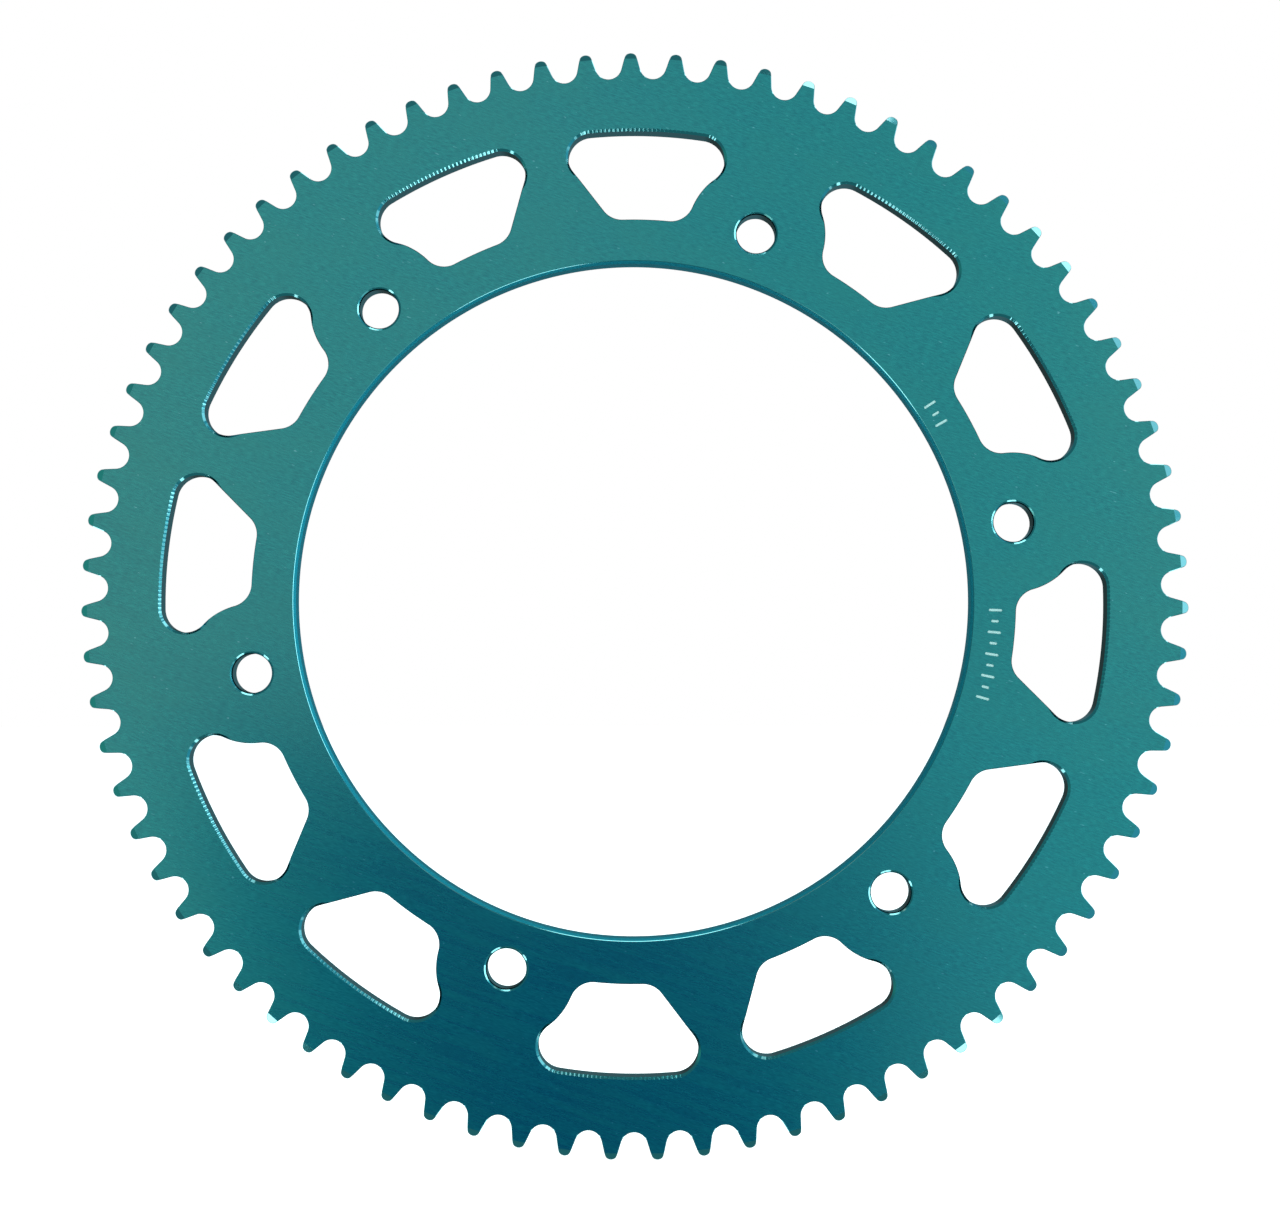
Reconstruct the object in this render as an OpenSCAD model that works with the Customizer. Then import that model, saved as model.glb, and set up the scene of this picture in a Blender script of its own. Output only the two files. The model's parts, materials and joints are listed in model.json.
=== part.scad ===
// One-piece rear sprocket for a narrow-pitch roller chain, cut from flat plate.
// The origin is the centre of the plate. The sprocket spins about the Y axis, and the marked
// front face looks along -Y. Angles are measured in the plane of the plate, as seen from the
// front: from +X, turning towards +Z.

/* [Chain and teeth] */
// Distance from one chain roller to the next
chain_pitch = 7.774; // [7.2:0.001:8.2]
// Number of teeth
tooth_count = 75; // [73:1:79]
// Diameter of a chain roller
roller_d = 4.59; // [4.2:0.01:4.8]
// Half of the angle at which a tooth gap opens outwards
gap_half_angle = 17.5; // [15:0.5:19]
// Height of the tooth tips above the pitch circle
tip_height = 2.53; // [2.1:0.01:2.8]
// Width of the turned bevel on the tooth tips, measured along the radius
tip_bevel_w = 1.3; // [0.4:0.05:1.5]
// Depth of the turned bevel on the tooth tips, measured into the plate
tip_bevel_depth = 1.1; // [0.4:0.05:1.5]

/* [Plate] */
// Thickness of the plate
plate_t = 4.4; // [4:0.1:6]
// Diameter of the pilot bore that locates the sprocket on its carrier
bore_d = 116; // [100:0.5:118]
// Size of the 45 degree bevel at both ends of the bore
bore_bevel = 0.5; // [0.2:0.1:0.8]

/* [Bolt circle] */
// Number of bolt holes
bolt_count = 6; // [6:1:6]
// Diameter of the circle through the bolt holes
bolt_circle_d = 133.35; // [132:0.05:135]
// Diameter of a bolt hole
bolt_hole_d = 6.75; // [5:0.05:8]
// Size of the 45 degree bevel at both ends of a bolt hole
bolt_bevel = 0.4; // [0.2:0.1:1]

/* [Lightening slots] */
// Radius of the slots' outer edge
slot_outer_r = 81.3; // [79:0.1:83]
// Radius of the slots' inner edge
slot_inner_r = 65.7; // [64:0.1:67]
// Radius of the round boss that is left about each bolt hole
boss_r = 12; // [10:0.5:13]
// Radius of a slot's two outer corners
outer_corner_r = 4.2; // [3:0.1:5]
// Radius of a slot's two inner corners
inner_corner_r = 4; // [3:0.1:4.5]
// Size of the 45 degree bevel along a slot's outer edge, at both faces
slot_bevel = 0.4; // [0.2:0.1:0.8]
// Distance from the centre to the point where the sides of two neighbouring slots would meet
spoke_apex_r = 83.5; // [82:0.1:86]
// Angle between such a side and the middle of the spoke
spoke_half_angle = 26.4; // [24:0.1:29]

/* [Orientation] */
// Angle of the first bolt hole
clocking = 11.2; // [0:0.1:60]
// Angle from a bolt hole to the middle of the tooth gap beside it
tooth_phase = -0.25; // [-2.4:0.05:2.4]

/* [Hidden] */
$fn = 180;

pitch_r = chain_pitch / (2 * sin(180 / tooth_count));
outside_r = pitch_r + tip_height;
seat_r = 0.505 * roller_d;
bore_r = bore_d / 2;
bolt_circle_r = bolt_circle_d / 2;
bolt_hole_r = bolt_hole_d / 2;
sector = 360 / bolt_count;
tooth_step = 360 / tooth_count;
past = 1;
// Overlap that lets a curve cross its tangent neighbour cleanly
weld = 0.002;

// Where the straight flank of a gap leaves its roller seat, in the frame of the gap
flank_x = (seat_r - weld) * cos(gap_half_angle);
flank_y = pitch_r - (seat_r - weld) * sin(gap_half_angle);
// Length of the flank, drawn past the tips
flank_len = 5;

// In the frame of a tooth, its two flanks lean together by this angle each
lean = gap_half_angle - tooth_step / 2;
// Distance of a flank's line from the centre of the plate
flank_off = cos(lean) * (flank_y * sin(tooth_step / 2) - flank_x * cos(tooth_step / 2))
          + sin(lean) * (flank_y * cos(tooth_step / 2) + flank_x * sin(tooth_step / 2));
// Radius of the rounded tip that touches both flanks and the outside circle
tip_r = (flank_off - outside_r * sin(lean)) / (1 - sin(lean));
tip_y = outside_r - tip_r;

// Place at a distance from the centre and a distance from a bolt hole on the +X axis
function near_hole(from_centre, from_hole) =
    let (x = (from_centre ^ 2 - from_hole ^ 2 + bolt_circle_r ^ 2) / (2 * bolt_circle_r))
    [x, sqrt(from_centre ^ 2 - x ^ 2)];

// The slot's straight side: its outward normal, its direction and its distance from the centre
side_angle = sector / 2 + spoke_half_angle;
side_normal = [-sin(side_angle), cos(side_angle)];
side_along = [cos(side_angle), sin(side_angle)];
side_off = -spoke_apex_r * sin(spoke_half_angle);

// Place at a distance from the centre and a distance inside the straight side
function near_side(from_centre, inside) =
    let (h = side_off - inside)
    h * side_normal + sqrt(from_centre ^ 2 - h ^ 2) * side_along;

// Centres of the slot's four corners
boss_outer = near_hole(slot_outer_r - outer_corner_r, boss_r + outer_corner_r);
boss_inner = near_hole(slot_inner_r + inner_corner_r, boss_r + inner_corner_r);
side_outer = near_side(slot_outer_r - outer_corner_r, outer_corner_r);
side_inner = near_side(slot_inner_r + inner_corner_r, inner_corner_r);

// Unit vector, and the direction from a point towards the bolt hole on the +X axis
function unit(v) = v / norm(v);
function to_hole(p) = unit([bolt_circle_r, 0] - p);

// Roller seat and the two straight flanks of one gap, on the +Y axis
module tooth_gap() {
    translate([0, pitch_r]) circle(seat_r);
    polygon([
        [-flank_x, flank_y],
        [-flank_x - flank_len * sin(gap_half_angle), flank_y + flank_len * cos(gap_half_angle)],
        [flank_x + flank_len * sin(gap_half_angle), flank_y + flank_len * cos(gap_half_angle)],
        [flank_x, flank_y]
    ]);
}

// What is cut away beside the rounded tip of one tooth, on the +Y axis
module tip_corners() {
    difference() {
        translate([-2 * tip_r, tip_y + tip_r * sin(lean)]) square([4 * tip_r, 2 * tip_r]);
        translate([0, tip_y]) circle(tip_r + weld);
    }
}

// Outline of the toothed blank, with a gap on the +Y axis
module toothed_outline() {
    difference() {
        circle(outside_r + past);
        for (i = [0 : tooth_count - 1]) {
            rotate(i * tooth_step) tooth_gap();
            rotate((i + 0.5) * tooth_step) tip_corners();
        }
    }
}

// One slot, above a bolt hole on the +X axis
module slot() {
    difference() {
        intersection() {
            circle(slot_outer_r);
            polygon([
                boss_outer,
                boss_outer + 2 * outer_corner_r * unit(boss_outer),
                side_outer + 2 * outer_corner_r * unit(side_outer),
                side_outer,
                side_outer + outer_corner_r * side_normal,
                side_inner + inner_corner_r * side_normal,
                side_inner,
                side_inner - 2 * inner_corner_r * unit(side_inner),
                boss_inner - 2 * inner_corner_r * unit(boss_inner),
                boss_inner,
                boss_inner + 2 * inner_corner_r * to_hole(boss_inner),
                boss_outer + 2 * outer_corner_r * to_hole(boss_outer)
            ]);
        }
        circle(slot_inner_r);
        translate([bolt_circle_r, 0]) circle(boss_r);
    }
    for (p = [boss_outer, side_outer]) translate(p) circle(outer_corner_r + weld);
    for (p = [boss_inner, side_inner]) translate(p) circle(inner_corner_r + weld);
}

// Outline of the finished plate
module plate_outline() {
    difference() {
        rotate(tooth_phase - 90) toothed_outline();
        circle(bore_r);
        for (i = [0 : bolt_count - 1]) rotate(i * sector) {
            translate([bolt_circle_r, 0]) circle(bolt_hole_r);
            slot();
            mirror([0, 1]) slot();
        }
    }
}

// Turned section of the plate: bevelled at the bore and at the tooth tips
module turned_section() {
    half_t = plate_t / 2;
    tip_inner_r = outside_r - tip_bevel_w;
    bevel_slope = tip_bevel_depth / tip_bevel_w;
    polygon([
        [bore_r, -half_t + bore_bevel],
        [bore_r + bore_bevel, -half_t],
        [tip_inner_r, -half_t],
        [outside_r + past, -half_t + tip_bevel_depth + past * bevel_slope],
        [outside_r + past, half_t - tip_bevel_depth - past * bevel_slope],
        [tip_inner_r, half_t],
        [bore_r + bore_bevel, half_t],
        [bore_r, half_t - bore_bevel]
    ]);
}

// Cone that bevels one end of a bolt hole, with its wide end on the face of the plate
module bolt_hole_bevel() {
    translate([bolt_circle_r, 0, plate_t / 2 - bolt_bevel])
        cylinder(h = bolt_bevel + past, r1 = bolt_hole_r, r2 = bolt_hole_r + bolt_bevel + past);
}

// What a conical cutter takes from one face as it follows the slot's outer edge from corner to corner
module slot_edge_bevel() {
    reach = slot_bevel + past;
    path_r = slot_outer_r - outer_corner_r;
    translate([0, 0, plate_t / 2 - slot_bevel]) {
        for (p = [boss_outer, side_outer]) translate(p)
            cylinder(h = reach, r1 = outer_corner_r + weld, r2 = outer_corner_r + weld + reach);
        intersection() {
            rotate_extrude() polygon([
                [path_r, 0], [slot_outer_r, 0], [slot_outer_r + reach, reach], [path_r, reach]
            ]);
            linear_extrude(reach) polygon([[0, 0], 2 * boss_outer, 2 * side_outer]);
        }
    }
}

// All that is cut from the front face beside one bolt hole on the +X axis
module face_bevels() {
    bolt_hole_bevel();
    slot_edge_bevel();
    mirror([0, 1, 0]) slot_edge_bevel();
}

module sprocket_plate() {
    color("teal")
    rotate([90, 0, 0]) rotate(clocking) difference() {
        intersection() {
            translate([0, 0, -plate_t / 2]) linear_extrude(plate_t) plate_outline();
            rotate_extrude() turned_section();
        }
        for (i = [0 : bolt_count - 1]) rotate(i * sector) {
            face_bevels();
            mirror([0, 0, 1]) face_bevels();
        }
    }
}

sprocket_plate();
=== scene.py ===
"""The looks of the rear sprocket: one flat plate of aluminium, machined and anodised teal.

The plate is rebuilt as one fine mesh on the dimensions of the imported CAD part. Its bevels, the chatter
that the cutter left along the slots and the engraved index marks are all real geometry.

Plan coordinates are complex numbers in millimetres, as seen from the front: the real part is +X and the
imaginary part is +Z. Depth is in millimetres behind the front face. Angles are in degrees.
"""

import cmath
import json
import math

import bmesh
import bpy
import numpy as np
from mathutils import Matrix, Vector


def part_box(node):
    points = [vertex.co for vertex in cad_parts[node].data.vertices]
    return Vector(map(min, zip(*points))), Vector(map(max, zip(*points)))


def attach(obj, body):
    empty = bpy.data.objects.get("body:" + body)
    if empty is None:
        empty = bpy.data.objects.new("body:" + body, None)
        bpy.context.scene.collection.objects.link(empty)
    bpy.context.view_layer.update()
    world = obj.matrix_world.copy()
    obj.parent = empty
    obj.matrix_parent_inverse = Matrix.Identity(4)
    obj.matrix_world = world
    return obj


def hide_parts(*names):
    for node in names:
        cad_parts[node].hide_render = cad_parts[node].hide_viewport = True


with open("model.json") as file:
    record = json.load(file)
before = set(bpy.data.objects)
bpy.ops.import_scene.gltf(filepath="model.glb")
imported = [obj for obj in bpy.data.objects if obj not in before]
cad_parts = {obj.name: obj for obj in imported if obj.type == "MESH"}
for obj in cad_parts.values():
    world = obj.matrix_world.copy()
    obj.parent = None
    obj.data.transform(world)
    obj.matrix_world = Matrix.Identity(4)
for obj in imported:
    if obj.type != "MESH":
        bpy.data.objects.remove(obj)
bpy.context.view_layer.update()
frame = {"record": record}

# ---- sizes that come from the frame ----
MM = 0.001
NODE = "sprocket_plate"
MOUNTS = {mount["name"]: mount for mount in frame["record"]["mounts"]}
LOW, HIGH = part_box(NODE)
PLATE_T = (HIGH.y - LOW.y) / MM
BORE_R = MOUNTS["pilot_bore"]["dims"]["r_mm"]
BORE_BEVEL = (PLATE_T - MOUNTS["pilot_bore"]["dims"]["length_mm"]) / 2
BOLT_CIRCLE_R = MOUNTS["bolt_circle"]["dims"]["pcd_mm"] / 2
BOLT_COUNT = MOUNTS["bolt_circle"]["dims"]["count"]
BOLT_HOLE_R = MOUNTS["bolt_circle"]["dims"]["hole_r_mm"]
SECTOR = 360 / BOLT_COUNT
# The faces' mounts lie in the middle of a spoke, half a sector past the first bolt hole.
FACE_X, _, FACE_Z = MOUNTS["front_face"]["pos_m"]
CLOCKING = math.degrees(math.atan2(FACE_Z, FACE_X)) - SECTOR / 2

# ---- the design's other driving sizes ----
CHAIN_PITCH = 7.774
TOOTH_COUNT = 75
ROLLER_D = 4.59
GAP_HALF_ANGLE = 17.5
TOOTH_PHASE = -0.25
TIP_HEIGHT = 2.53
TIP_BEVEL_W = 1.3
TIP_BEVEL_DEPTH = 1.1
BOLT_BEVEL = 0.4
SLOT_BEVEL = 0.4
SLOT_OUTER_R = 81.3
SLOT_INNER_R = 65.7
BOSS_R = 12
OUTER_CORNER_R = 4.2
INNER_CORNER_R = 4
SPOKE_APEX_R = 83.5
SPOKE_HALF_ANGLE = 26.4
# A gap seats the roller with a little room
SEAT_R = 0.505 * ROLLER_D
PITCH_R = CHAIN_PITCH / (2 * math.sin(math.pi / TOOTH_COUNT))
OUTSIDE_R = PITCH_R + TIP_HEIGHT
# The tip bevel starts at this radius on the faces
TIP_FACE_R = OUTSIDE_R - TIP_BEVEL_W

# ---- finish that only the looks have, in mm ----
EDGE_BREAK = 0.1
# Bevels from the face to the wall: distance in from the wall, and depth
BORE_EDGE_BREAK = 0.06
BORE_SECTION = [
    (BORE_BEVEL + BORE_EDGE_BREAK, 0),
    (BORE_BEVEL - BORE_EDGE_BREAK, BORE_EDGE_BREAK),
    (0, BORE_BEVEL),
]
BOLT_EDGE_BREAK = 0.03
# The bolt holes' bevel is shallow beside the face and steeper beside the wall, and the two meet here
BOLT_BEVEL_TURN = (0.19, 0.14)
BOLT_SECTION = [(BOLT_BEVEL + BOLT_EDGE_BREAK, 0), BOLT_BEVEL_TURN, (0, BOLT_BEVEL)]
# Chatter along a slot's outer edge: length of one scallop, and height from hollow to crest
CHATTER_PITCH = 0.74
CHATTER_DEPTH = 0.16
# Share of that height that swells and fades along the edge. One swell is 2 pi times the length here.
CHATTER_SWELL = 0.3
CHATTER_SWELL_LENGTH = 5.5
# At a corner the chatter dies out by the time that the edge has turned this far inwards
CHATTER_FADE = OUTER_CORNER_R / 5
# Chatter starts at a phase of its own in each slot, in scallops: step to the next bolt hole, step
# between the two slots beside a hole, and how far the swell turns for each whole scallop, in radians
PHASE_STEP = 0.37
PHASE_MIRRORED = 0.61
SWELL_PER_PHASE = 9

# ---- index marks: plain ticks, by turns tall and short ----
# Middle of the group, number of ticks, radius
TICK_GROUPS = [(31.2, 3, 61.1), (-9, 9, 62.2)]
TICK_STEP = 1.75
TICK_TALL = 2.3
TICK_SHORT = 1.3
TICK_WIDTH = 0.42
TICK_DEPTH = 0.08
# How far the groove's wall leans in, for each unit of its depth
TICK_WALL_LEAN = 0.25

# ---- how closely the mesh follows each curve: the length of one step ----
SEAT_STEP = 0.3
TIP_STEP = 0.22
BORE_STEP = 0.5
BOLT_HOLE_STEP = 0.2
SLOT_STEP = 0.25
CHATTER_STEP = CHATTER_PITCH / 8
# Lengths that differ by less than this are the same
SAME = 1e-6

# ---- materials ----
FACE, CUT, BORE, MARK = 0, 1, 2, 3
# Direction that the brushed grain runs in
GRAIN_ANGLE = -19
# Width of the square that the grain's UV covers, with its middle on the plate's axis
UV_SQUARE = 200
# Faces that meet at more than this angle meet at a sharp edge
SHARP_ANGLE = 20
FACE_DARK = (0.0, 0.152, 0.140, 1)
FACE_LIGHT = (0.010, 0.262, 0.212, 1)
FACE_MOTTLE = (0.012, 0.215, 0.165, 1)
FACE_FLECK = (0.16, 0.50, 0.45, 1)
CUT_DARK = (0.004, 0.19, 0.22, 1)
CUT_LIGHT = (0.02, 0.26, 0.28, 1)
BORE_DARK = (0.005, 0.16, 0.21, 1)
BORE_LIGHT = (0.012, 0.23, 0.29, 1)
MARK_DARK = (0.22, 0.40, 0.38, 1)
MARK_LIGHT = (0.34, 0.54, 0.51, 1)
PAPER_DARK = (0.78, 0.78, 0.77, 1)
PAPER_LIGHT = (0.84, 0.84, 0.83, 1)
WHITE = (1, 1, 1, 1)

# ---- camera: place and lens in mm, and how far it is turned up and to the left ----
CAMERA_PLACE = (3.4, -395, -14.85)
CAMERA_UP = 3.737
CAMERA_LEFT = 1.043
CAMERA_LENS = 64.35
CAMERA_SHIFT = (0.023, -0.0536)

# ---- studio, in mm ----
FLOOR_RADIUS = 4000
# The softboxes hang as far in front of the plate as the camera stands
SOFTBOX_Y = CAMERA_PLACE[1]
# Place across and up, width and height in mm, brightness, colour
SOFTBOXES = [
    (-220, 175, 140, 420, 0.90, (1.65, 1.07, 0.81)),
    (-75, 175, 150, 420, 0.77, (1.35, 0.99, 0.86)),
    (77, 175, 155, 420, 0.72, (0.95, 0.95, 0.87)),
    (218, 175, 126, 420, 0.84, (1.4, 1.13, 0.93)),
    (-267, -180, 224, 300, 1.26, (1.0, 1.10, 0.91)),
    (219, -180, 262, 300, 0.84, (0.75, 1.03, 1.0)),
    (65, -70, 80, 80, 0.14, (1.3, 1.0, 1.0)),
]
STRIP_DISTANCE = 1000
STRIP_COLOUR = (1.0, 1.0, 0.97)
# Strip lights: bearing, width and length in degrees, brightness. Each set hangs at one angle off the
# plate's axis, which is where the bevels of the tooth tips, the slots or the holes mirror it.
TIP_STRIPS = [
    (4, 12, 12, 1.5), (22, 22, 12, 1.0), (41, 8, 12, 3.2), (68.5, 11, 12, 3.8), (228, 6, 12, 5),
    (308, 8, 12, 4.5),
]
SLOT_STRIPS = [
    (0, 16, 12, 1.2), (24, 24, 12, 1.6), (52, 14, 10, 2.6), (75, 8, 10, 2), (232, 9, 14, 4),
    (298, 9, 14, 4), (322, 7, 14, 1.3),
]
HOLE_STRIPS = [(5, 45, 20, 5), (92, 26, 20, 5), (290, 20, 20, 5), (218, 12, 20, 6)]
STRIPS_OFF_AXIS = {95: TIP_STRIPS, 78: SLOT_STRIPS, 60: HOLE_STRIPS}
# Soft patches of the room, each over the last: bearing, angle off the axis, half width, softness, colour
ROOM_COLOUR = (0.10, 0.34, 0.36, 1)
ROOM_PATCHES = [
    (0, 0, 34, 16, (0.01, 0.205, 0.54, 1)),
    (10, 85, 45, 25, (0.20, 0.80, 1.0, 1)),
    (180, 108, 26, 10, (0.12, 0.60, 0.50, 1)),
    (0, 180, 66, 10, (0.42, 0.62, 0.64, 1)),
    (0, 180, 28, 10, (0.06, 0.14, 0.16, 1)),
    (180, 166, 12, 8, (0.03, 0.05, 0.05, 1)),
]


# ---- plan outlines: each is (points, directions out of the metal), in order round the loop ----
def polar(angle):
    return cmath.exp(1j * math.radians(angle))


def angle_of(point):
    return math.degrees(cmath.phase(point))


def arc(centre, radius, start, end, spacing, metal_inside):
    """An arc with both of its ends, in steps of about the spacing."""
    steps = max(2, math.ceil(radius * math.radians(abs(end - start)) / spacing))
    out = np.exp(1j * np.radians(np.linspace(start, end, steps + 1)))
    return centre + radius * out, out if metal_inside else -out


def straight(start, end, spacing, out):
    """A straight edge with both of its ends, in steps of about the spacing."""
    steps = math.ceil(abs(end - start) / spacing)
    return np.linspace(start, end, steps + 1), np.full(steps + 1, out)


def joined(parts):
    return np.concatenate([p for p, _ in parts]), np.concatenate([n for _, n in parts])


def turned(outline, angle):
    points, out = outline
    return points * polar(angle), out * polar(angle)


def hole_outline(centre, radius, spacing):
    points, out = arc(centre, radius, 0, 360, spacing, metal_inside=False)
    return points[:-1], out[:-1]


def tooth_outline():
    """One gap on the +X axis, and the tooth after it."""
    step = 360 / TOOTH_COUNT
    lean = GAP_HALF_ANGLE - step / 2
    flank = PITCH_R + SEAT_R * polar(90 + GAP_HALF_ANGLE)
    # Distance of the flank's line from the tooth's own axis where that passes the centre of the plate
    offset = abs((flank * polar(-step / 2) * polar(-lean)).imag)
    sine = math.sin(math.radians(lean))
    tip_r = (offset - OUTSIDE_R * sine) / (1 - sine)
    seat = arc(PITCH_R, SEAT_R, 270 - GAP_HALF_ANGLE, 90 + GAP_HALF_ANGLE, SEAT_STEP, False)
    tip = arc(OUTSIDE_R - tip_r, tip_r, lean - 90, 90 - lean, TIP_STEP, True)
    tip = turned(tip, step / 2)
    rise = on_circle(seat[0][-1], tip[0][0], TIP_FACE_R)
    fall = rise.conjugate() * polar(step)
    return joined([seat, ([rise], tip[1][:1]), tip, ([fall], tip[1][-1:])])


def on_circle(start, end, radius):
    """Where the line from start to end crosses a circle about the centre of the plate."""
    along = (end - start) / abs(end - start)
    middle = -(start * along.conjugate()).real
    nearest = abs(start + middle * along)
    return start + (middle + math.sqrt(radius ** 2 - nearest ** 2)) * along


def corner_near_hole(from_centre, from_hole):
    """Place at a distance from the centre and a distance from a bolt hole on the +X axis."""
    x = (from_centre ** 2 - from_hole ** 2 + BOLT_CIRCLE_R ** 2) / (2 * BOLT_CIRCLE_R)
    return complex(x, math.sqrt(from_centre ** 2 - x ** 2))


def corner_near_side(from_centre, inside):
    """Place at a distance from the centre and a distance inside the slot's straight side."""
    side = polar(SECTOR / 2 + SPOKE_HALF_ANGLE)
    h = -SPOKE_APEX_R * math.sin(math.radians(SPOKE_HALF_ANGLE)) - inside
    return side * complex(math.sqrt(from_centre ** 2 - h ** 2), h)


def slot_outline():
    """The slot above a bolt hole on the +X axis, and how deep the bevel is along it.

    The cutter followed the outer edge from corner to corner, so past the corners the bevel runs out.
    """
    fine, coarse = CHATTER_STEP, SLOT_STEP
    outer, inner = OUTER_CORNER_R, INNER_CORNER_R
    boss_outer = corner_near_hole(SLOT_OUTER_R - outer, BOSS_R + outer)
    boss_inner = corner_near_hole(SLOT_INNER_R + inner, BOSS_R + inner)
    side_outer = corner_near_side(SLOT_OUTER_R - outer, outer)
    side_inner = corner_near_side(SLOT_INNER_R + inner, inner)
    side_way = SECTOR / 2 + SPOKE_HALF_ANGLE + 90
    side_ends = side_outer + outer * polar(side_way), side_inner + inner * polar(side_way)

    def to_hole(corner):
        return angle_of(BOLT_CIRCLE_R - corner)

    def from_hole(corner):
        return angle_of(corner - BOLT_CIRCLE_R)

    parts = [
        arc(0, SLOT_OUTER_R, angle_of(boss_outer), angle_of(side_outer), fine, False),
        arc(side_outer, outer, angle_of(side_outer), side_way, fine, False),
        straight(*side_ends, coarse, -polar(side_way)),
        arc(side_inner, inner, side_way, angle_of(side_inner) + 180, coarse, False),
        arc(0, SLOT_INNER_R, angle_of(side_inner), angle_of(boss_inner), coarse, True),
        arc(boss_inner, inner, angle_of(boss_inner) - 180, to_hole(boss_inner), coarse, False),
        arc(BOLT_CIRCLE_R, BOSS_R, from_hole(boss_inner), from_hole(boss_outer), coarse, True),
        arc(boss_outer, outer, to_hole(boss_outer), angle_of(boss_outer), fine, False),
    ]
    # Neighbours share their end points
    points, out = joined([(points[:-1], out[:-1]) for points, out in parts])
    past_corner = np.minimum(abs(points - boss_outer), abs(points - side_outer)) - outer
    past_corner[:len(parts[0][0]) - 1] = 0
    return points, out, SLOT_BEVEL - np.clip(past_corner, 0, SLOT_BEVEL - EDGE_BREAK)


def capsule(centre, along, length, width):
    """A round-ended bar."""
    reach = (length - width) / 2 * along
    way = angle_of(along)
    ends = [
        arc(centre + reach, width / 2, way - 90, way + 90, width / 8, metal_inside=False),
        arc(centre - reach, width / 2, way + 90, way + 270, width / 8, metal_inside=False),
    ]
    return joined(ends)


# ---- mesh ----
def add_ring(mesh, points, depths):
    depths = np.broadcast_to(depths, len(points))
    return [
        mesh.verts.new((p.real * MM, (d - PLATE_T / 2) * MM, p.imag * MM))
        for p, d in zip(points, depths)
    ]


def bridge(mesh, front, back, material):
    """Faces between two rings. Where the rings share a vertex the face has three corners, or none."""
    for i in range(len(front)):
        corners = list(dict.fromkeys([front[i - 1], front[i], back[i], back[i - 1]]))
        if len(corners) > 2:
            mesh.faces.new(corners).material_index = material


def ring_edges(mesh, ring):
    return [mesh.edges.get((ring[i - 1], ring[i])) for i in range(len(ring))]


def fill_face(mesh, rings, front):
    """The flat face between the outer ring and the openings."""
    edges = [edge for ring in rings for edge in ring_edges(mesh, ring)]
    way = (0, -1 if front else 1, 0)
    made = bmesh.ops.triangle_fill(mesh, use_beauty=True, edges=edges, normal=way)
    for item in made["geom"]:
        if isinstance(item, bmesh.types.BMFace):
            item.material_index = FACE


def cut_opening(mesh, outline, section, materials):
    """An opening that goes right through. Returns its rings on the front and back faces.

    The section gives widths and depths from the face to the wall, and the materials are of the bands
    between them and of the wall.
    """
    points, out = outline
    front = [add_ring(mesh, points - width * out, depth) for width, depth in section]
    back = [add_ring(mesh, points - width * out, PLATE_T - depth) for width, depth in section]
    for rings in (front, back):
        for upper, lower, material in zip(rings, rings[1:], materials):
            bridge(mesh, upper, lower, material)
    bridge(mesh, front[-1], back[-1], materials[-1])
    return front[0], back[0]


def cut_teeth(mesh):
    """The toothed rim. The tip bevel is a cone, so it runs deeper the further out the rim reaches."""
    step = 360 / TOOTH_COUNT
    tooth = tooth_outline()
    points, out = joined([turned(tooth, CLOCKING + TOOTH_PHASE + i * step) for i in range(TOOTH_COUNT)])
    inset = points - EDGE_BREAK * out
    # The edge break stays on the circle where the bevel starts
    inset = np.where(abs(abs(points) - TIP_FACE_R) < SAME, TIP_FACE_R * inset / abs(inset), inset)
    slope = TIP_BEVEL_DEPTH / TIP_BEVEL_W
    beyond = abs(points) > TIP_FACE_R + SAME

    def depth_at(places):
        return np.maximum(0, abs(places) - TIP_FACE_R) * slope

    def half(flip):
        upper = add_ring(mesh, inset, flip(depth_at(inset)))
        lower = add_ring(mesh, points, flip(depth_at(points) + EDGE_BREAK))
        face_arc = add_ring(mesh, (TIP_FACE_R * inset / abs(inset))[beyond], flip(0))
        face_ring = list(upper)
        for place, vertex in zip(np.flatnonzero(beyond), face_arc):
            face_ring[place] = vertex
        bridge(mesh, face_ring, upper, CUT)
        bridge(mesh, upper, lower, CUT)
        return face_ring, lower

    front_ring, front_edge = half(lambda depth: depth)
    back_ring, back_edge = half(lambda depth: PLATE_T - depth)
    bridge(mesh, front_edge, back_edge, CUT)
    return front_ring, back_ring


def cut_slot(mesh, angle, mirrored, phase):
    """One slot. The cutter left the bevel along its outer edge scalloped."""
    points, out, depth = slot_outline()
    if mirrored:
        points, out, depth = points.conjugate()[::-1], out.conjugate()[::-1], depth[::-1]
    travel = np.unwrap(np.angle(points)) * SLOT_OUTER_R
    across_scallop = 2 * ((travel / CHATTER_PITCH + phase) % 1) - 1
    scallop = 1 - 2 * across_scallop ** 2
    swell_turn = travel / CHATTER_SWELL_LENGTH + SWELL_PER_PHASE * phase
    swell = 1 - CHATTER_SWELL + CHATTER_SWELL * np.sin(swell_turn)
    on_outer_edge = np.clip(1 - (SLOT_OUTER_R - abs(points)) / CHATTER_FADE, 0, 1)
    widths = depth + CHATTER_DEPTH / 2 * on_outer_edge * swell * scallop
    section = [(widths, 0), (0, depth)]
    return cut_opening(mesh, turned((points, out), angle), section, [CUT, CUT])


def engrave(mesh, outline):
    """A shallow groove in the front face. Returns its ring on that face."""
    points, out = outline
    rim = add_ring(mesh, points, 0)
    floor = add_ring(mesh, points + TICK_WALL_LEAN * TICK_DEPTH * out, TICK_DEPTH)
    bridge(mesh, rim, floor, MARK)
    mesh.faces.new(floor).material_index = MARK
    return rim


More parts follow.
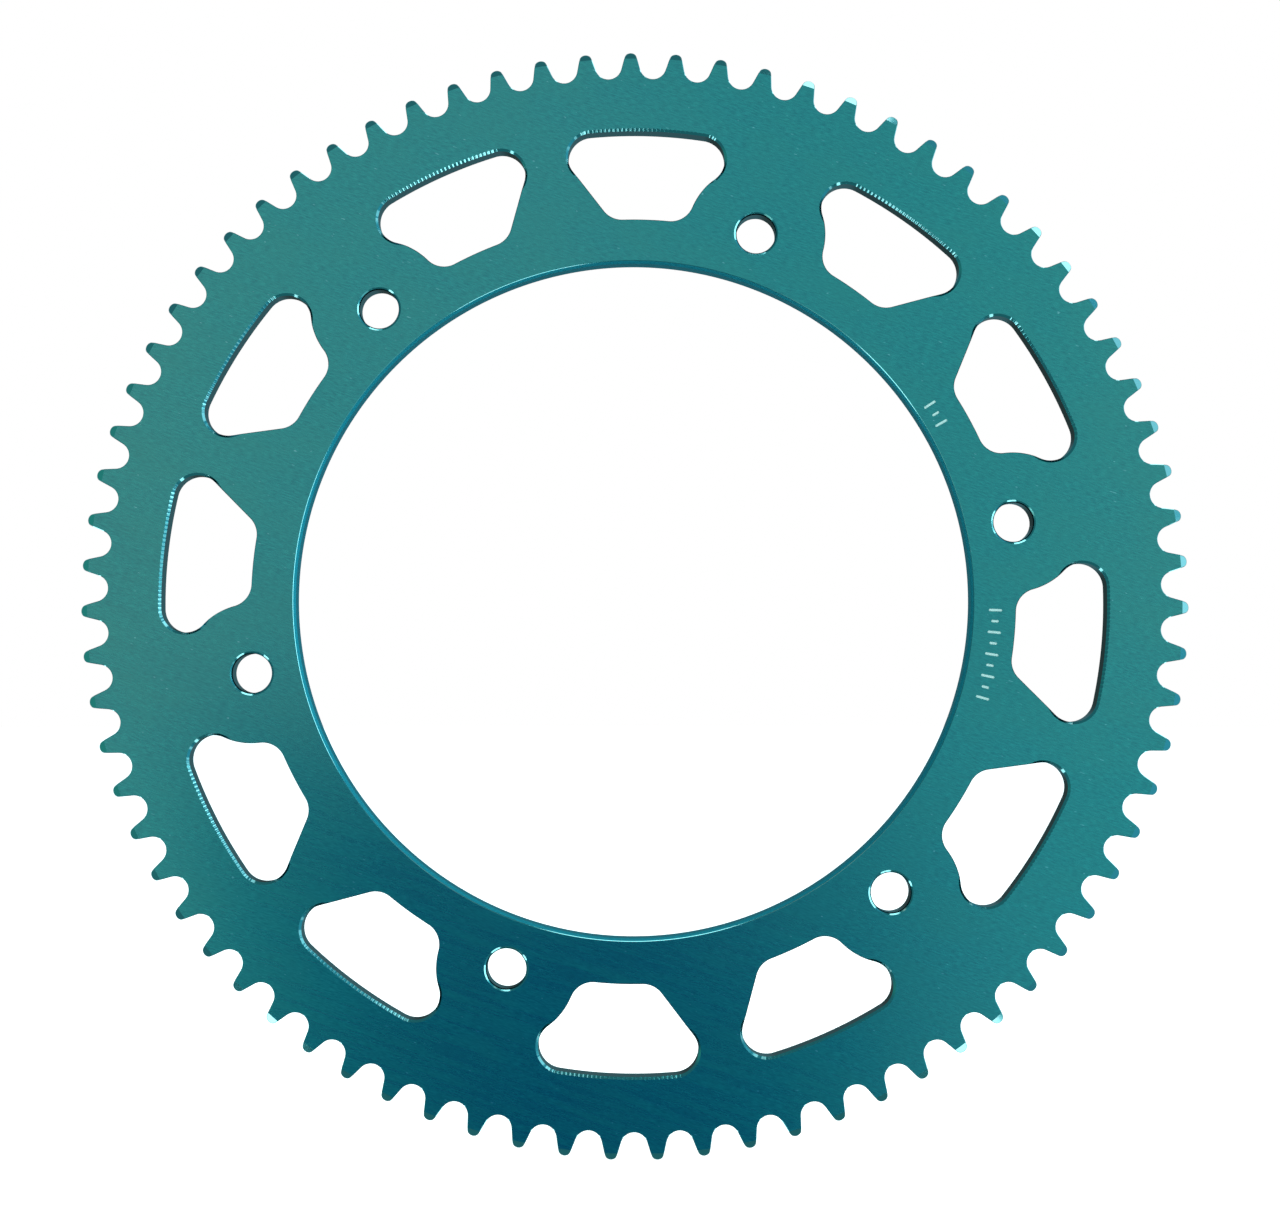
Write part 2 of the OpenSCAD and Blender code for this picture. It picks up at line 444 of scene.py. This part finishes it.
def index_marks():
    """Plain ticks beside the bore, in a short group and a long one. They say nothing."""
    for middle, count, radius in TICK_GROUPS:
        for i in range(count):
            way = polar(middle + (i - (count - 1) / 2) * TICK_STEP)
            length = TICK_SHORT if i % 2 else TICK_TALL
            yield capsule(radius * way, way, length, TICK_WIDTH)


def add_uv(mesh):
    """UV across the face in grain directions, so that gloss can follow the grain."""
    layer = mesh.loops.layers.uv.new("grain")
    for face in mesh.faces:
        for loop in face.loops:
            x, y, z = loop.vert.co / MM
            place = complex(x, z) * polar(-GRAIN_ANGLE) + 1j * y
            loop[layer].uv = (place.real / UV_SQUARE + 0.5, place.imag / UV_SQUARE + 0.5)


def set_shading(mesh):
    """Smooth, with sharp edges round the flat faces and wherever the metal turns quickly."""
    for face in mesh.faces:
        face.smooth = True
    for edge in mesh.edges:
        beside_face = any(face.material_index == FACE for face in edge.link_faces)
        edge.smooth = not beside_face and edge.calc_face_angle() < math.radians(SHARP_ANGLE)


def build_plate():
    mesh = bmesh.new()
    faces = [cut_teeth(mesh)]
    bore = hole_outline(0, BORE_R, BORE_STEP)
    faces.append(cut_opening(mesh, bore, BORE_SECTION, [CUT, BORE, BORE]))
    for i in range(BOLT_COUNT):
        angle = CLOCKING + i * SECTOR
        hole = hole_outline(BOLT_CIRCLE_R * polar(angle), BOLT_HOLE_R, BOLT_HOLE_STEP)
        faces.append(cut_opening(mesh, hole, BOLT_SECTION, [CUT, CUT, CUT]))
        faces.append(cut_slot(mesh, angle, mirrored=False, phase=PHASE_STEP * i))
        faces.append(cut_slot(mesh, angle, mirrored=True, phase=PHASE_STEP * i + PHASE_MIRRORED))
    marks = [engrave(mesh, outline) for outline in index_marks()]
    fill_face(mesh, [front for front, _ in faces] + marks, front=True)
    fill_face(mesh, [back for _, back in faces], front=False)
    bmesh.ops.recalc_face_normals(mesh, faces=mesh.faces[:])
    set_shading(mesh)
    add_uv(mesh)
    data = bpy.data.meshes.new("plate")
    mesh.to_mesh(data)
    mesh.free()
    plate = bpy.data.objects.new("plate", data)
    bpy.context.scene.collection.objects.link(plate)
    return plate


# ---- materials ----
def add_node(tree, kind, inputs=None, **settings):
    """One shader node. inputs gives each socket a value, or another node's output to link."""
    made = tree.nodes.new("ShaderNode" + kind)
    for name, value in settings.items():
        setattr(made, name, value)
    for name, value in (inputs or {}).items():
        if isinstance(value, bpy.types.NodeSocket):
            tree.links.new(value, made.inputs[name])
        else:
            made.inputs[name].default_value = value
    return made


def new_material(name):
    material = bpy.data.materials.new(name)
    material.use_nodes = True
    tree = material.node_tree
    return material, tree, tree.nodes["Principled BSDF"]


def grain_place(tree):
    """Coordinates in mm, with X along the brushed grain, Y through the plate and Z across the grain."""
    where = add_node(tree, "TexCoord").outputs["Object"]
    aligned = add_node(tree, "Mapping", {
        "Vector": where, "Rotation": (0, math.radians(GRAIN_ANGLE), 0), "Scale": (1 / MM,) * 3})
    return aligned.outputs["Vector"]


def streaks(tree, place, length, width, detail=2, offset=0):
    """Noise drawn out along the grain. length and width are those of one streak, in mm."""
    drawn = add_node(tree, "Mapping", {
        "Vector": place, "Scale": (1 / length, 1 / width, 1 / width), "Location": (offset,) * 3})
    noise = add_node(tree, "TexNoise", {
        "Vector": drawn.outputs["Vector"], "Scale": 1, "Detail": detail, "Roughness": 0.6})
    return noise.outputs["Fac"]


def mapped(tree, value, low, high, to_low=0.0, to_high=1.0, interpolation="LINEAR"):
    return add_node(tree, "MapRange", {
        "Value": value, "From Min": low, "From Max": high, "To Min": to_low, "To Max": to_high,
    }, interpolation_type=interpolation).outputs["Result"]


def mixed(tree, factor, first, second):
    made = add_node(tree, "Mix", data_type="RGBA")
    for socket, value in zip((0, 6, 7), (factor, first, second)):
        if isinstance(value, bpy.types.NodeSocket):
            tree.links.new(value, made.inputs[socket])
        else:
            made.inputs[socket].default_value = value
    return made.outputs[2]


def face_material():
    """Brushed and anodised: a short fine grain, soft mottling and a few pale flecks."""
    material, tree, shader = new_material("teal_anodise_face")
    place = grain_place(tree)
    grain = streaks(tree, place, 1.3, 0.22, detail=3)
    broad = streaks(tree, place, 14, 0.9, offset=7)
    mottle = streaks(tree, place, 14, 9, offset=3)
    flecks = streaks(tree, place, 0.9, 0.35, detail=0, offset=21)
    colour = mixed(tree, mapped(tree, grain, 0.3, 0.7), FACE_DARK, FACE_LIGHT)
    colour = mixed(tree, mapped(tree, mottle, 0.35, 0.65, 0, 0.35), colour, FACE_MOTTLE)
    colour = mixed(tree, mapped(tree, flecks, 0.83, 0.88, 0, 0.5), colour, FACE_FLECK)
    tree.links.new(colour, shader.inputs["Base Color"])
    tree.links.new(mapped(tree, broad, 0.3, 0.7, 0.25, 0.31), shader.inputs["Roughness"])
    shader.inputs["Metallic"].default_value = 1
    shader.inputs["Anisotropic"].default_value = 0.5
    shader.inputs["Coat Weight"].default_value = 0.6
    shader.inputs["Coat Roughness"].default_value = 0.2
    tangent = add_node(tree, "Tangent", direction_type="UV_MAP", uv_map="grain")
    tree.links.new(tangent.outputs["Tangent"], shader.inputs["Tangent"])
    bump = add_node(tree, "Bump", {"Height": grain, "Strength": 0.25, "Distance": 0.02 * MM})
    tree.links.new(bump.outputs["Normal"], shader.inputs["Normal"])
    return material


def cut_material():
    """Machined before anodising, so smoother and brighter than the brushed face."""
    material, tree, shader = new_material("teal_anodise_cut")
    place = grain_place(tree)
    lines = streaks(tree, place, 4, 0.12, detail=2, offset=11)
    colour = mixed(tree, lines, CUT_DARK, CUT_LIGHT)
    tree.links.new(colour, shader.inputs["Base Color"])
    tree.links.new(mapped(tree, lines, 0.3, 0.7, 0.09, 0.15), shader.inputs["Roughness"])
    shader.inputs["Metallic"].default_value = 1
    shader.inputs["Coat Weight"].default_value = 1
    shader.inputs["Coat IOR"].default_value = 1.8
    shader.inputs["Coat Roughness"].default_value = 0.08
    return material


def bore_material():
    """Turned to size with a coarse feed, so its wall is satin and catches light from all round."""
    material, tree, shader = new_material("teal_anodise_bore")
    place = grain_place(tree)
    lines = streaks(tree, place, 6, 0.2, offset=13)
    colour = mixed(tree, lines, BORE_DARK, BORE_LIGHT)
    tree.links.new(colour, shader.inputs["Base Color"])
    tree.links.new(mapped(tree, lines, 0.3, 0.7, 0.55, 0.65), shader.inputs["Roughness"])
    shader.inputs["Metallic"].default_value = 0.9
    return material


def mark_material():
    """Laser-engraved through the colour, down to pale metal."""
    material, tree, shader = new_material("pale_engraving")
    place = grain_place(tree)
    speckle = streaks(tree, place, 0.15, 0.15, offset=5)
    colour = mixed(tree, speckle, MARK_DARK, MARK_LIGHT)
    tree.links.new(colour, shader.inputs["Base Color"])
    shader.inputs["Roughness"].default_value = 0.6
    return material


def floor_material():
    """Pale matt paper, lit so brightly that it shows as white."""
    material, tree, shader = new_material("pale_floor")
    fibres = add_node(tree, "TexNoise", {"Scale": 400, "Detail": 2}).outputs["Fac"]
    colour = mixed(tree, fibres, PAPER_DARK, PAPER_LIGHT)
    tree.links.new(colour, shader.inputs["Base Color"])
    shader.inputs["Roughness"].default_value = 0.9
    shader.inputs["Specular IOR Level"].default_value = 0
    shader.inputs["Emission Color"].default_value = WHITE
    shader.inputs["Emission Strength"].default_value = 1
    return material


# ---- stage, lights and camera ----
def add_floor():
    mesh = bmesh.new()
    bmesh.ops.create_circle(mesh, cap_ends=True, segments=96, radius=FLOOR_RADIUS * MM)
    data = bpy.data.meshes.new("floor")
    mesh.to_mesh(data)
    mesh.free()
    floor = bpy.data.objects.new("floor", data)
    floor.location.z = LOW.z
    floor.visible_glossy = False
    data.materials.append(floor_material())
    bpy.context.scene.collection.objects.link(floor)


def outwards(bearing, off_axis):
    """Unit direction at an angle off the plate's axis. bearing is seen from the front, like every angle."""
    side = math.sin(math.radians(off_axis)) * polar(bearing)
    return Vector((side.real, -math.cos(math.radians(off_axis)), side.imag))


def add_lamp(name, place, facing, width, tall, brightness, colour):
    """A soft panel. place is in mm, and facing is the bearing and the angle off the axis that it hangs at.

    brightness is its radiance. Its height runs along the plate's axis when it hangs beside the rim.
    """
    bearing, off_axis = facing
    light = bpy.data.lights.new(name, "AREA")
    light.shape = "RECTANGLE"
    light.size = width * MM
    light.size_y = tall * MM
    light.energy = brightness * math.pi * light.size * light.size_y
    light.color = colour
    lamp = bpy.data.objects.new(name, light)
    lamp.location = Vector(place) * MM
    lamp.rotation_euler = (math.radians(90 - off_axis), math.radians(90 - bearing), 0)
    lamp.visible_camera = False
    bpy.context.scene.collection.objects.link(lamp)


def add_lights():
    """Softboxes round the camera light the face. Strips round the rim make its bevels flash."""
    for number, (x, z, width, tall, brightness, colour) in enumerate(SOFTBOXES, 1):
        add_lamp(f"softbox_{number}", (x, SOFTBOX_Y, z), (90, 0), width, tall, brightness, colour)
    strips = [(off_axis, *strip) for off_axis, same_set in STRIPS_OFF_AXIS.items() for strip in same_set]
    for number, (off_axis, bearing, width, length, brightness) in enumerate(strips, 1):
        place = STRIP_DISTANCE * outwards(bearing, off_axis)
        sizes = [2 * STRIP_DISTANCE * math.tan(math.radians(size / 2)) for size in (width, length)]
        add_lamp(f"strip_{number}", place, (bearing, off_axis), *sizes, brightness, STRIP_COLOUR)


def add_world():
    """White behind the object. Everything else that it mirrors is a dim room with soft patches of light."""
    world = bpy.data.worlds.new("studio")
    world.use_nodes = True
    bpy.context.scene.world = world
    tree = world.node_tree
    tree.nodes.clear()
    direction = add_node(tree, "TexCoord").outputs["Generated"]
    colour = add_node(tree, "RGB").outputs[0]
    colour.default_value = ROOM_COLOUR
    for bearing, off_axis, half_width, softness, patch_colour in ROOM_PATCHES:
        nearness = add_node(tree, "VectorMath", {
            0: direction, 1: outwards(bearing, off_axis)}, operation="DOT_PRODUCT").outputs["Value"]
        inner = math.cos(math.radians(max(0, half_width - softness)))
        outer = math.cos(math.radians(half_width + softness))
        share = mapped(tree, nearness, outer, inner, interpolation="SMOOTHSTEP")
        colour = mixed(tree, share, colour, patch_colour)
    seen = add_node(tree, "Background", {"Color": WHITE, "Strength": 1})
    room = add_node(tree, "Background", {"Color": colour, "Strength": 1})
    path = add_node(tree, "LightPath")
    both = add_node(tree, "MixShader", {
        0: path.outputs["Is Camera Ray"], 1: room.outputs[0], 2: seen.outputs[0]})
    add_node(tree, "OutputWorld", {"Surface": both.outputs[0]})


def add_camera():
    """The photograph's viewpoint: nearly head on, a little below the middle and looking slightly up."""
    camera = bpy.data.cameras.new("camera")
    camera.sensor_width = 36
    camera.sensor_fit = "HORIZONTAL"
    camera.lens = CAMERA_LENS
    camera.shift_x, camera.shift_y = CAMERA_SHIFT
    camera.clip_start = 0.01
    holder = bpy.data.objects.new("camera", camera)
    holder.location = Vector(CAMERA_PLACE) * MM
    holder.rotation_euler = (math.radians(90 + CAMERA_UP), 0, math.radians(CAMERA_LEFT))
    bpy.context.scene.collection.objects.link(holder)
    bpy.context.scene.camera = holder


def set_view():
    view = bpy.context.scene.view_settings
    view.view_transform = "Standard"
    view.look = "None"


def main():
    set_view()
    add_camera()
    add_world()
    add_lights()
    add_floor()
    plate = build_plate()
    for material in (face_material(), cut_material(), bore_material(), mark_material()):
        plate.data.materials.append(material)
    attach(plate, "root")
    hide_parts(NODE)


main()
